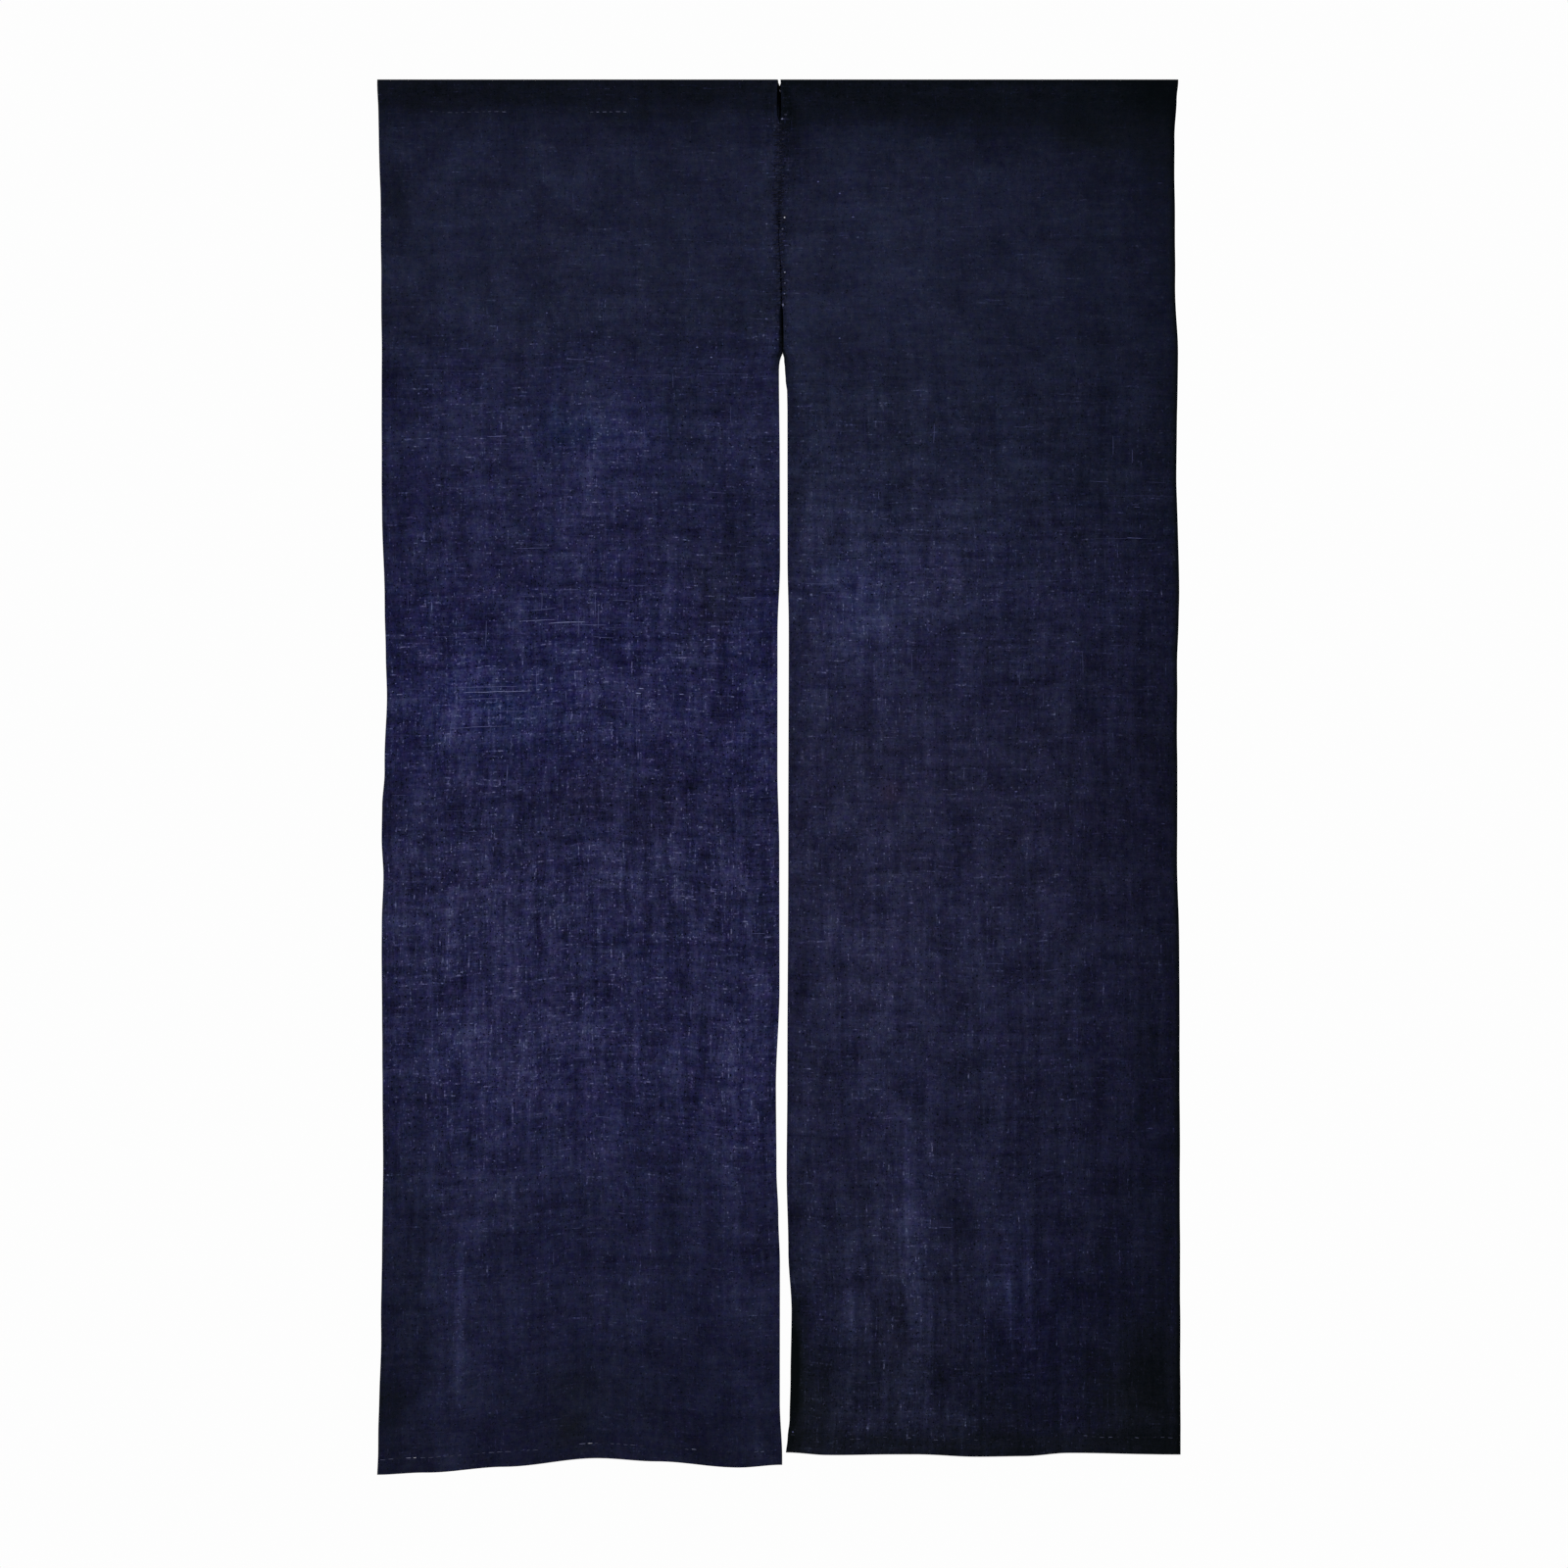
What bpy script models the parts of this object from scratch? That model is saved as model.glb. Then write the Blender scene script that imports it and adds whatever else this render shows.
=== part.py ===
"""A noren: a door curtain of two lengths of handwoven indigo cloth, split down the middle.

Each length is one piece of cloth. Its top is turned to the back and sewn down as a rod
pocket, its foot is turned up as a hem, and the two are sewn together down the middle for
the first part of their drop. Metres, +Z up. The front faces -Y. The origin is the middle
of the top edge, over the seam, and everything hangs below it.
"""

import math
from collections import namedtuple

import bmesh
import bpy

# The cloth
CLOTH_THICKNESS = 0.0012
CLOTH_LENGTH = 1.462
HEM_HEIGHT = 0.0155
HEM_THICKNESS = 0.0028
HEM_ROUNDING = 0.0008

# The rod pocket: the clear depth for the rod, and the lip below its line of stitches
POCKET_CLEARANCE = 0.0130
POCKET_LIP = 0.0030

# The seam and the slit: the two cloths keep this gap where they are sewn edge to edge,
# and their edges turn back beside the seam
SEAM_GAP = 0.0003
TURNED_EDGE_WIDTH = 0.0070
TURNED_EDGE_DEPTH = 0.0040
TURNED_EDGE_FROM = 0.046
TURNED_EDGE_UNTIL = 0.225
TURNED_EDGE_GONE = 0.400

# How finely the solid follows the cloth. Both cloths have a row at each of the same heights
# from ROWS_FROM down, so their edges match along the seam
ROWS_FROM = 0.060
BODY_ROWS = 40
COLUMNS = 15
WALL_STEPS = 6
ARC_STEPS = 8

# A row of the outline: how far below the top, and where the cloth's edge lies across
EdgeRow = namedtuple("EdgeRow", "drop x")
# A row of the foot: where across, and how much lower than CLOTH_LENGTH the hem's edge hangs
FootRow = namedtuple("FootRow", "x lower")
# A soft fold that runs down the cloth: it grows from its top to its bottom and stands
# forward by its reach, or back where that is negative
Fold = namedtuple("Fold", "across width top bottom reach")
# One length of cloth
Panel = namedtuple("Panel", "name pocket_drop outer slit slit_behind foot folds colour")

# The line of the seam, which isn't quite straight
SEAM = (
    EdgeRow(0.048, 0.0000),
    EdgeRow(0.176, -0.0003),
    EdgeRow(0.228, 0.0013),
    EdgeRow(0.290, 0.0012),
)


def beside_seam(aside):
    """The seam's rows moved across: where the edge of a cloth lies that is sewn there."""
    return tuple(EdgeRow(row.drop, row.x + aside) for row in SEAM)


LEFT_PANEL = Panel(
    name="panel_left",
    pocket_drop=0.034,
    outer=(
        EdgeRow(0.000, -0.4276),
        EdgeRow(0.063, -0.4255),
        EdgeRow(0.126, -0.4236),
        EdgeRow(0.292, -0.4224),
        EdgeRow(0.455, -0.4222),
        EdgeRow(0.542, -0.4193),
        EdgeRow(0.646, -0.4172),
        EdgeRow(0.729, -0.4190),
        EdgeRow(0.792, -0.4222),
        EdgeRow(0.833, -0.4206),
        EdgeRow(0.885, -0.4224),
        EdgeRow(1.145, -0.4213),
        EdgeRow(1.312, -0.4226),
        EdgeRow(1.437, -0.4255),
        EdgeRow(1.480, -0.4272),
    ),
    slit=(
        EdgeRow(0.000, -0.0022),
        EdgeRow(0.018, -0.0028),
        EdgeRow(0.038, -0.0026),
    )
    + beside_seam(-SEAM_GAP / 2)
    + (
        EdgeRow(0.313, -0.0010),
        EdgeRow(0.417, -0.0005),
        EdgeRow(0.510, -0.0004),
        EdgeRow(0.584, -0.0030),
        EdgeRow(0.729, -0.0031),
        EdgeRow(0.813, -0.0012),
        EdgeRow(0.958, -0.0010),
        EdgeRow(1.062, -0.0042),
        EdgeRow(1.166, -0.0042),
        EdgeRow(1.249, -0.0010),
        EdgeRow(1.395, -0.0009),
        EdgeRow(1.456, 0.0021),
        EdgeRow(1.480, 0.0021),
    ),
    slit_behind=-0.0004,
    foot=(
        FootRow(-0.428, 0.018),
        FootRow(-0.376, 0.015),
        FootRow(-0.293, 0.009),
        FootRow(-0.192, 0.000),
        FootRow(-0.130, 0.003),
        FootRow(-0.043, 0.010),
        FootRow(0.002, 0.007),
    ),
    folds=(
        Fold(-0.430, 0.045, 0.20, 1.20, -0.0040),
        Fold(-0.345, 0.055, 0.30, 1.40, 0.0045),
        Fold(-0.225, 0.060, 0.15, 1.10, -0.0035),
        Fold(-0.125, 0.050, 0.35, 1.30, 0.0055),
        Fold(-0.040, 0.035, 0.60, 1.45, -0.0030),
    ),
    colour=(0.0160, 0.0168, 0.0482),
)

RIGHT_PANEL = Panel(
    name="panel_right",
    pocket_drop=0.048,
    outer=(
        EdgeRow(0.000, 0.4224),
        EdgeRow(0.022, 0.4203),
        EdgeRow(0.063, 0.4182),
        EdgeRow(0.215, 0.4184),
        EdgeRow(0.292, 0.4212),
        EdgeRow(0.420, 0.4203),
        EdgeRow(0.542, 0.4234),
        EdgeRow(0.646, 0.4214),
        EdgeRow(0.833, 0.4203),
        EdgeRow(1.000, 0.4243),
        EdgeRow(1.465, 0.4247),
    ),
    slit=(
        EdgeRow(0.000, 0.0010),
        EdgeRow(0.018, 0.0017),
        EdgeRow(0.038, 0.0016),
    )
    + beside_seam(SEAM_GAP / 2)
    + (
        EdgeRow(0.313, 0.0052),
        EdgeRow(0.355, 0.0083),
        EdgeRow(0.510, 0.0084),
        EdgeRow(0.584, 0.0097),
        EdgeRow(0.813, 0.0092),
        EdgeRow(1.062, 0.0082),
        EdgeRow(1.166, 0.0075),
        EdgeRow(1.249, 0.0086),
        EdgeRow(1.312, 0.0122),
        EdgeRow(1.395, 0.0113),
        EdgeRow(1.437, 0.0093),
        EdgeRow(1.465, 0.0082),
    ),
    slit_behind=0.0004,
    foot=(
        FootRow(0.008, -0.003),
        FootRow(0.050, -0.002),
        FootRow(0.140, -0.003),
        FootRow(0.205, 0.000),
        FootRow(0.306, -0.004),
        FootRow(0.425, -0.002),
    ),
    folds=(
        Fold(0.020, 0.035, 0.45, 1.40, -0.0030),
        Fold(0.075, 0.040, 0.20, 0.90, 0.0030),
        Fold(0.138, 0.026, 0.60, 1.30, 0.0050),
        Fold(0.190, 0.035, 0.50, 1.30, -0.0040),
        Fold(0.255, 0.035, 0.80, 1.35, 0.0045),
        Fold(0.330, 0.055, 0.25, 1.20, -0.0035),
        Fold(0.425, 0.050, 0.15, 1.20, -0.0060),
    ),
    colour=(0.0123, 0.0130, 0.0343),
)


def ease(share):
    """0 to 1 with soft ends, for a share that may lie outside 0 to 1."""
    share = min(1.0, max(0.0, share))
    return share * share * (3.0 - 2.0 * share)


def between(low, high, share):
    return low + (high - low) * share


def along(rows, at):
    """The rows' second value at a place between their first values, with soft turns."""
    if at <= rows[0][0]:
        return rows[0][1]
    for first, second in zip(rows, rows[1:]):
        if at <= second[0]:
            share = (at - first[0]) / (second[0] - first[0])
            return between(first[1], second[1], ease(share))
    return rows[-1][1]


def pocket_line(pocket_drop):
    """(y, z) down the middle of the pocket's cloth: up its front, over the top, down its back."""
    radius = (POCKET_CLEARANCE + CLOTH_THICKNESS) / 2
    middle = CLOTH_THICKNESS / 2
    centre = -(radius + CLOTH_THICKNESS / 2)
    wall = []
    for step in range(WALL_STEPS):
        share = step / WALL_STEPS
        half_depth = between(CLOTH_THICKNESS / 2, radius, ease(share))
        wall.append((half_depth, between(-pocket_drop, centre, share)))
    arc = []
    for step in range(ARC_STEPS + 1):
        angle = math.pi * step / ARC_STEPS
        arc.append((middle - radius * math.cos(angle), centre + radius * math.sin(angle)))
    front = [(middle - half_depth, z) for half_depth, z in wall]
    back = [(middle + half_depth, z) for half_depth, z in reversed(wall)]
    return front + arc + back


def two_faces(line):
    """The line's outer and inner faces, half the cloth's thickness to each side of it."""
    outer, inner = [], []
    for number, (y, z) in enumerate(line):
        if number in (0, len(line) - 1):
            out_y, out_z = (-1.0 if number == 0 else 1.0), 0.0
        else:
            before, after = line[number - 1], line[number + 1]
            run_y, run_z = after[0] - before[0], after[1] - before[1]
            out_y, out_z = -run_z / math.hypot(run_y, run_z), run_y / math.hypot(run_y, run_z)
        half = CLOTH_THICKNESS / 2
        outer.append((y + out_y * half, z + out_z * half))
        inner.append((y - out_y * half, z - out_z * half))
    return outer, inner


def section(bm, panel):
    """The flat cloth cut across its width: pocket, body and hem, as faces in the plane x = 0."""

    def vertex(point):
        return bm.verts.new((0.0, point[0], point[1]))

    front, back = -CLOTH_THICKNESS / 2, CLOTH_THICKNESS / 2
    outer, inner = two_faces(pocket_line(panel.pocket_drop))
    outer = [vertex(point) for point in outer]
    crease = vertex(inner[0])
    inner = [crease] + [vertex(point) for point in inner[1:-1]] + [crease]
    for number in range(len(outer) - 1):
        bm.faces.new([outer[number], outer[number + 1], inner[number + 1], inner[number]])

    body_top = -(panel.pocket_drop + POCKET_LIP)
    body_foot = -(CLOTH_LENGTH - HEM_HEIGHT)
    heights = [between(-ROWS_FROM, body_foot, row / BODY_ROWS) for row in range(BODY_ROWS + 1)]
    rows = [(vertex((front, z)), vertex((back, z))) for z in [body_top] + heights]
    lip = vertex((back + CLOTH_THICKNESS, body_top))
    bm.faces.new([outer[0], crease, outer[-1], lip, rows[0][1], rows[0][0]])
    for upper, lower in zip(rows, rows[1:]):
        bm.faces.new([upper[0], upper[1], lower[1], lower[0]])

    hem_back = front + HEM_THICKNESS
    foot = -CLOTH_LENGTH
    hem = [
        (hem_back, body_foot),
        (hem_back, foot + HEM_ROUNDING),
        (hem_back - HEM_ROUNDING, foot),
        (front + HEM_ROUNDING, foot),
        (front, foot + HEM_ROUNDING),
    ]
    bm.faces.new([rows[-1][0], rows[-1][1]] + [vertex(point) for point in hem])


def column_places():
    """Where the columns stand, from 0 at the outer edge to 1 at the slit, the last one narrow."""
    width = abs(LEFT_PANEL.outer[0].x)
    turn = 1.0 - TURNED_EDGE_WIDTH / width
    places = [turn * column / (COLUMNS - 2) for column in range(COLUMNS - 1)]
    return places + [between(turn, 1.0, 0.5), 1.0]


def flat_panel(panel):
    """The folded cloth before it hangs: its section drawn out across a width of 1."""
    bm = bmesh.new()
    section(bm, panel)
    cap = bm.faces[:] + bm.edges[:] + bm.verts[:]
    places = column_places()
    for before, place in zip(places, places[1:]):
        cap = bmesh.ops.extrude_face_region(bm, geom=cap)["geom"]
        moved = [part for part in cap if isinstance(part, bmesh.types.BMVert)]
        bmesh.ops.translate(bm, verts=moved, vec=(place - before, 0.0, 0.0))
    bmesh.ops.triangulate(bm, faces=bm.faces[:])
    return bm


def slit_edge(panel, drop, y):
    """Where the slit's edge lies across: the pocket's back wall reaches closer to the seam."""
    radius = POCKET_CLEARANCE / 2
    behind = ease(y / radius) if drop < panel.pocket_drop else 0.0
    return between(along(panel.slit, drop), panel.slit_behind, behind)


def turned_edge(drop, from_slit):
    """How far back the cloth lies beside the seam, where its edge is turned away."""
    if from_slit > TURNED_EDGE_WIDTH:
        return 0.0
    grows = ease((drop - TURNED_EDGE_FROM) / TURNED_EDGE_WIDTH)
    fades = 1.0 - ease((drop - TURNED_EDGE_UNTIL) / (TURNED_EDGE_GONE - TURNED_EDGE_UNTIL))
    return TURNED_EDGE_DEPTH * grows * fades * (1.0 - from_slit / TURNED_EDGE_WIDTH) ** 2


def fold_reach(panel, x, drop):
    """How far forward the folds bring the cloth at this place."""
    reach = 0.0
    for fold in panel.folds:
        grown = ease((drop - fold.top) / (fold.bottom - fold.top))
        reach += fold.reach * grown * math.exp(-(((x - fold.across) / fold.width) ** 2))
    return reach


def hang(panel, place, y, z):
    """Where a point of the flat cloth lies once it hangs: across, to the back and up."""
    drop = -z
    outer = along(panel.outer, drop)
    slit = slit_edge(panel, drop, y)
    x = between(outer, slit, place)
    lowered = along(panel.foot, x) * ease(drop / (CLOTH_LENGTH - HEM_HEIGHT))
    back = turned_edge(drop, abs(x - slit)) - fold_reach(panel, x, drop)
    return x, y + back, z - lowered


def indigo(name, colour):
    """Indigo cloth, matt and dark."""
    material = bpy.data.materials.new(name)
    material.use_nodes = True
    shader = material.node_tree.nodes["Principled BSDF"]
    shader.inputs["Base Color"].default_value = (*colour, 1.0)
    shader.inputs["Roughness"].default_value = 0.9
    shader.inputs["Metallic"].default_value = 0.0
    return material


def hung_panel(panel):
    """One length of cloth as a named object."""
    bm = flat_panel(panel)
    for vertex in bm.verts:
        vertex.co = hang(panel, vertex.co.x, vertex.co.y, vertex.co.z)
    bmesh.ops.recalc_face_normals(bm, faces=bm.faces[:])
    if bm.calc_volume(signed=True) < 0:
        bmesh.ops.reverse_faces(bm, faces=bm.faces[:])
    mesh = bpy.data.meshes.new(panel.name)
    bm.to_mesh(mesh)
    bm.free()
    mesh.materials.append(indigo(panel.name + "_cloth", panel.colour))
    mesh.shade_smooth()
    mesh.set_sharp_from_angle(angle=math.radians(40))
    cloth = bpy.data.objects.new(panel.name, mesh)
    bpy.context.scene.collection.objects.link(cloth)
    return cloth


for leftover in list(bpy.data.objects):
    bpy.data.objects.remove(leftover, do_unlink=True)

hung_panel(LEFT_PANEL)
hung_panel(RIGHT_PANEL)
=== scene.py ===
"""The looks of a noren: two lengths of handwoven indigo cloth, sewn together down the upper middle.

Metres, +Z up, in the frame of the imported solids. The front faces -Y, the origin is the middle
of the top edge, and each piece stays where its solid is.
"""

import math
import random
from collections import namedtuple

import bmesh
import bpy
from mathutils import Matrix, Vector, noise


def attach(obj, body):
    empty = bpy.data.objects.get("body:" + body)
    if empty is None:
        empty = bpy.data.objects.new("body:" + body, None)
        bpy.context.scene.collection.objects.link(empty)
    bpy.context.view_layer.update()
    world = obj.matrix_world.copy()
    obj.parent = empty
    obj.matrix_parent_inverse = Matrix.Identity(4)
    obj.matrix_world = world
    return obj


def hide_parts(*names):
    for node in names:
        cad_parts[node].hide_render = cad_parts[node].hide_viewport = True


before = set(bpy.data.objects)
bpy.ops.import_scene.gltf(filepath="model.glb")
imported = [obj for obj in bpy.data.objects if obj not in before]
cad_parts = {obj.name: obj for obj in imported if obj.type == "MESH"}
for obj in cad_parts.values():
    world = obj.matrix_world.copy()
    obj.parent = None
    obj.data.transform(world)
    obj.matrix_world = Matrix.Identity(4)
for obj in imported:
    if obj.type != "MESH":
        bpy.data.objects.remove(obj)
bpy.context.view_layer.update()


# The left length of cloth.
# One width of plain handwoven cloth, dyed in indigo, its pale middle worn through the dye.
# The top is turned to the back and sewn down as the rod's pocket, the foot is a narrow hem.
Edge = namedtuple("Edge", "drop x")
Foot = namedtuple("Foot", "x lower")
Fold = namedtuple("Fold", "across width top bottom reach")
Crease = namedtuple("Crease", "across drop length width lean reach")
Tone = namedtuple("Tone", "drop tone")
Side = namedtuple("Side", "across share")
# Spots of tone: mostly wear, and some painted shade along the seam, in its groove and in a crease at the
# slit's foot
WearAndShade = namedtuple("WearAndShade", "across drop wide tall paler")
Streak = namedtuple("Streak", "drop contrast weft_share")
Cast = namedtuple("Cast", "drop vivid greener")
Stain = namedtuple("Stain", "across drop wide tall redder duller")
Length = namedtuple("Length", "pocket_drop hem_height outer slit foot folds creases")


def rows_of(kind, *rows):
    """A table, each of its rows one of this kind."""
    return tuple(kind(*row) for row in rows)


cloth_thickness = 0.0009
layer_step = 0.0011
cloth_drop = 1.462
turned_in = 0.008
pocket_radius = 0.0071
pocket_middle = 0.0006
body_rows = 330
across_columns = 94
slit_zone = 0.0085
slit_columns = 17

seam = rows_of(
    Edge,
    (0.046, 0.0000), (0.140, -0.0012), (0.165, -0.0008), (0.200, 0.0010), (0.228, 0.0016),
    (0.2895, 0.0018),
)
seam_from = 0.044
seam_until = 0.284
seam_gone = 0.300
turned_back = 0.0060
turn_radius = 0.0007
leaning = 0.0022
face_to_face = 0.0020
drawn_in = 0.0071
sewn_until = 0.242

left_length = Length(
    pocket_drop=0.034,
    hem_height=0.0168,
    outer=rows_of(
        Edge,
        (0.000, -0.4268), (0.063, -0.4254), (0.126, -0.4236), (0.292, -0.4224), (0.455, -0.4222),
        (0.542, -0.4193), (0.646, -0.4172), (0.725, -0.4196), (0.762, -0.4222), (0.795, -0.4226),
        (0.833, -0.4206), (0.885, -0.4224), (1.145, -0.4213), (1.312, -0.4232), (1.437, -0.4265),
        (1.480, -0.4280),
    ),
    slit=(Edge(0.000, -0.0022), Edge(0.018, -0.0028), Edge(0.038, -0.0026))
    + seam
    + rows_of(
        Edge,
        (0.2965, 0.0003), (0.306, -0.0006), (0.417, 0.0003), (0.510, 0.0006), (0.584, -0.0021),
        (0.729, -0.0022), (0.813, -0.0002), (0.958, 0.0000), (1.062, -0.0038), (1.150, -0.0032),
        (1.200, -0.0012), (1.249, 0.0004), (1.395, 0.0003), (1.456, 0.0028), (1.480, 0.0030),
    ),
    foot=rows_of(
        Foot,
        (-0.428, 0.0192), (-0.376, 0.0165), (-0.293, 0.0105), (-0.192, 0.0015), (-0.130, 0.0045),
        (-0.043, 0.0115), (0.002, 0.0085),
    ),
    folds=rows_of(
        Fold,
        (-0.430, 0.045, 0.20, 1.20, -0.0040), (-0.345, 0.055, 0.30, 1.40, 0.0045),
        (-0.225, 0.060, 0.15, 1.10, -0.0035), (-0.125, 0.050, 0.35, 1.30, 0.0055),
        (-0.040, 0.035, 0.60, 1.45, -0.0030),
    ),
    creases=rows_of(
        Crease,
        (-0.330, 1.280, 0.300, 0.006, 0.02, 0.0010), (-0.215, 0.560, 0.420, 0.008, -0.03, 0.0009),
        (-0.120, 0.900, 0.380, 0.007, 0.02, -0.0008), (-0.060, 0.420, 0.260, 0.006, -0.02, 0.0008),
        (-0.395, 0.700, 0.340, 0.007, 0.01, -0.0008),
    ),
)


def ease(share):
    share = min(1.0, max(0.0, share))
    return share * share * (3.0 - 2.0 * share)


def between(low, high, share):
    return low + (high - low) * share


def along(rows, at):
    """The rows' second value at a place between their first values, with soft turns."""
    if at <= rows[0][0]:
        return rows[0][1]
    for first, second in zip(rows, rows[1:]):
        if at <= second[0]:
            return between(first[1], second[1], ease((at - first[0]) / (second[0] - first[0])))
    return rows[-1][1]


def turn(y, z, radius, start, steps):
    """Points round a fold of this radius, from a start angle through half a turn."""
    angles = [start + math.pi * step / steps for step in range(1, steps)]
    return [(y - radius * math.cos(a), z + radius * math.sin(a)) for a in angles]


def folded_line(length):
    """(y, z) along the middle of the folded cloth, from its raw edge behind the pocket to the hem's."""
    stitched, crown = -length.pocket_drop, -(pocket_radius + cloth_thickness / 2)
    wall = []
    for step in range(13):
        share = step / 12
        half_depth = between(layer_step, pocket_radius, ease(share))
        wall.append((half_depth, between(stitched, crown, share)))
    lower = stitched - 0.0055
    raw = [(layer_step, stitched + turned_in), (layer_step, stitched), (layer_step, lower)]
    under = turn(1.5 * layer_step, lower, layer_step / 2, 0.0, 5)
    under = [(y, 2 * lower - z) for y, z in under]
    behind = [(2 * layer_step, lower), (2 * layer_step, between(lower, stitched, 0.5))]
    behind += [(pocket_middle + half, z) for half, z in wall]
    over = turn(pocket_middle, crown, pocket_radius, 0.0, 12)[::-1]
    front = [(pocket_middle - half, z) for half, z in reversed(wall)]
    front = [(between(y, 0.0, ease(1 - (z - stitched) / -stitched) ** 6), z) for y, z in front]
    foot = -cloth_drop
    body = [(0.0, between(stitched, foot + layer_step, row / body_rows)) for row in range(1, body_rows + 1)]
    hem = turn(layer_step, foot + layer_step, layer_step, 0.0, 7)
    hem = [(y, 2 * (foot + layer_step) - z) for y, z in hem]
    top = foot + length.hem_height
    hem += [(2 * layer_step, between(foot + layer_step, top, step / 4)) for step in range(5)]
    hem += turn(1.5 * layer_step, top, layer_step / 2, 0.0, 4)[::-1]
    hem += [(layer_step, top - 0.001), (layer_step, top - turned_in)]
    return raw + under + behind + over + front + body + hem


def seam_turn(drop):
    """How far the edges are turned back here: flat at first, then turned, and flat at the slit."""
    grows = ease((drop - 0.120) / 0.045)
    return grows * (1.0 - ease((drop - seam_until) / (seam_gone - seam_until)))


def seam_opening(drop):
    """Half the width of the groove: shut by the stitches, a little open between the last, then wide."""
    pulled = 0.5 - 0.5 * math.cos(2 * math.pi * (drop - 0.2055) / 0.0115)
    tight = 0.0010 * ease((drop - 0.190) / 0.012) * pulled
    loose = between(0.0018, 0.0026, (drop - sewn_until) / 0.045)
    return between(tight, loose, ease((drop - 0.2395) / 0.004))


def slit_edge(length, drop, y):
    """Where the edge towards the slit lies: the pocket's back wall reaches all the way to the seam."""
    edge = along(length.slit, drop)
    if drop < length.pocket_drop + 0.008 and y > 0:
        side = -1.0 if length.outer[0].x < 0 else 1.0
        overlap = 0.0003 if side < 0 else between(0.0003, 0.0030, ease((drop - 0.0390) / 0.002))
        behind = side * between(0.0013, -overlap, ease((drop - 0.003) / 0.0045))
        shut_by = between(0.8 * pocket_radius, 1.5 * layer_step, ease((drop - pocket_radius) / 0.004))
        return between(edge, behind, ease(y / shut_by))
    return edge


def turned_edge(from_edge, drop):
    """(out, back, share of the way back) of cloth this far from its edge, turned back face to face.

    The last 2 mm lie face to face behind the groove, and its walls stand apart as far as it is open.
    """
    opening = seam_opening(drop)
    touching = cloth_thickness / 2 + 0.00001
    depth = turn_radius + turned_back
    out = touching - 0.0002 * (1 - ease(from_edge / face_to_face))
    out += opening * ease((from_edge - face_to_face) / face_to_face)
    if from_edge < turned_back:
        return out, depth - from_edge, (depth - from_edge) / depth
    turned = (from_edge - turned_back) / turn_radius
    if turned < math.pi / 2:
        back = turn_radius * (1 - math.sin(turned))
        return out + turn_radius * (1 - math.cos(turned)), back, back / depth
    taken = turned_back + turn_radius * (math.pi / 2 - 1) - touching - opening
    return from_edge - taken * max(0.0, 1.0 - (from_edge - drawn_in) / 0.15), 0.0, 0.0


def fold_reach(length, x, drop):
    """How far forward the folds and the listed creases bring the cloth here."""
    reach = 0.0
    for fold in length.folds:
        grown = ease((drop - fold.top) / (fold.bottom - fold.top))
        reach += fold.reach * grown * math.exp(-(((x - fold.across) / fold.width) ** 2))
    for crease in length.creases:
        down = (drop - crease.drop) / crease.length
        if abs(down) < 1.6:
            aside = (x - crease.across - crease.lean * (drop - crease.drop)) / crease.width
            if abs(aside) < 4:
                reach += crease.reach * math.exp(-4 * down**2) * math.exp(-(aside**2))
    return reach


def pucker(distance, place, spread, pitch, seed):
    """Small pulls of the cloth beside a line of stitches, strongest at the line."""
    pull = math.exp(-((distance / spread) ** 2))
    return 0.0 if pull < 0.02 else pull * noise.noise(Vector((place / pitch, seed, 0.0)))


def cockle(length, x, drop):
    """The cloth's own unevenness: long soft waves, small cockles, and pulls beside the sewing."""
    wave = 0.0010 * noise.noise(Vector((x / 0.060, drop / 0.150, 3.1)))
    wave += 0.0006 * noise.noise(Vector((x / 0.024, drop / 0.045, 7.7)))
    wave += 0.00022 * noise.noise(Vector((x / 0.009, drop / 0.013, 1.3)))
    wave *= 0.35 + 0.65 * ease((drop - 0.01) / 0.20)
    hem_top = cloth_drop - length.hem_height
    wave += 0.0005 * ease((drop - hem_top) / 0.003)
    wave += 0.0009 * pucker(drop - length.pocket_drop, x, 0.009, 0.0060, 2.0)
    wave += 0.0010 * pucker(drop - hem_top, x, 0.009, 0.0065, 5.0)
    if seam_from < drop < seam_gone:
        from_seam = x - along(seam, drop)
        beside = min(1.5, max(-1.5, from_seam / 0.0045))
        sewn = ease((drop - seam_from) / 0.006)
        wave += 0.0012 * sewn * pucker(from_seam, drop, 0.010, 0.0050, 9.0 + beside)
        wave += 0.0007 * sewn * pucker(from_seam, drop, 0.016, 0.0120, 19.0 + beside)
    return wave


def hang(length, place, y, z):
    """Where a point of the folded cloth hangs, its place going from 0 at the outer edge to 1 at the slit."""
    drop = -z
    side = -1.0 if length.outer[0].x < 0 else 1.0
    outer = along(length.outer, drop) + 0.0004 * noise.noise(Vector((drop / 0.035, 4.4, 0.0)))
    slit = slit_edge(length, drop, y)
    x = between(outer, slit, place)
    lowered = along(length.foot, x) * ease(drop / (cloth_drop - length.hem_height))
    back = -fold_reach(length, x, drop) - cockle(length, x, drop)
    turned = seam_turn(drop)
    if turned > 0:
        out, behind, share = turned_edge(abs(x - slit), drop)
        x = between(x, slit + side * out + leaning * share, turned)
        back += turned * behind
    return Vector((x, y + back, z - lowered))


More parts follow.
